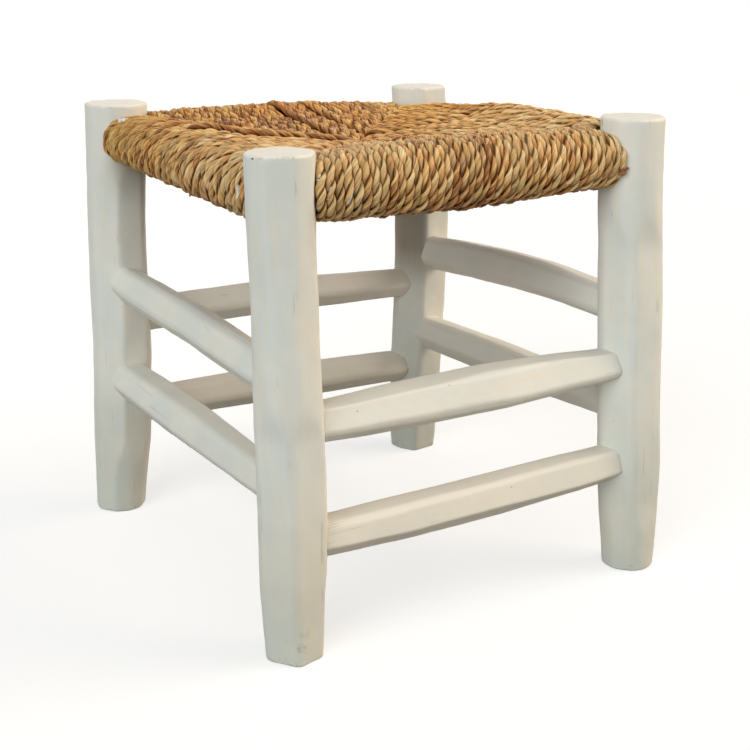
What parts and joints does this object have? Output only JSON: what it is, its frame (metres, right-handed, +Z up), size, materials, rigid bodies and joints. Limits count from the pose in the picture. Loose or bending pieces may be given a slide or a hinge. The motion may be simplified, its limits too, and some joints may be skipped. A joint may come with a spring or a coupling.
{
  "type": "stool",
  "caption": "Low square stool with hewn round wooden posts joined by whittled rungs, and a seat wound from twisted plant-fibre rope in an envelope pattern.",
  "frame": {"origin": "on the floor, at the middle of the stool's bounding box", "axes": "+Z up; the front is towards -Y, and +X is to the right as seen from the front"},
  "size_m": [0.4164, 0.4395, 0.4226],
  "materials": {
    "painted_wood": "matt off-white paint, brushed, worn at the feet",
    "bare_wood": "rough",
    "seat_rope": "two-ply twisted palm or rush rope, dry"
  },
  "bodies": {
    "root": {"front_left_post": "painted_wood", "front_right_post": "painted_wood", "back_left_post": "painted_wood", "back_right_post": "painted_wood", "front_upper_rung": "painted_wood", "front_lower_rung": "painted_wood", "back_upper_rung": "painted_wood", "back_lower_rung": "painted_wood", "left_upper_rung": "painted_wood", "left_lower_rung": "painted_wood", "right_upper_rung": "painted_wood", "right_lower_rung": "painted_wood", "front_seat_rail": "bare_wood", "back_seat_rail": "bare_wood", "left_seat_rail": "bare_wood", "right_seat_rail": "bare_wood", "front_left_seat_rope": "seat_rope", "front_right_seat_rope": "seat_rope", "back_left_seat_rope": "seat_rope", "back_right_seat_rope": "seat_rope", "seat_rope_core": "seat_rope"}
  },
  "joints": []
}
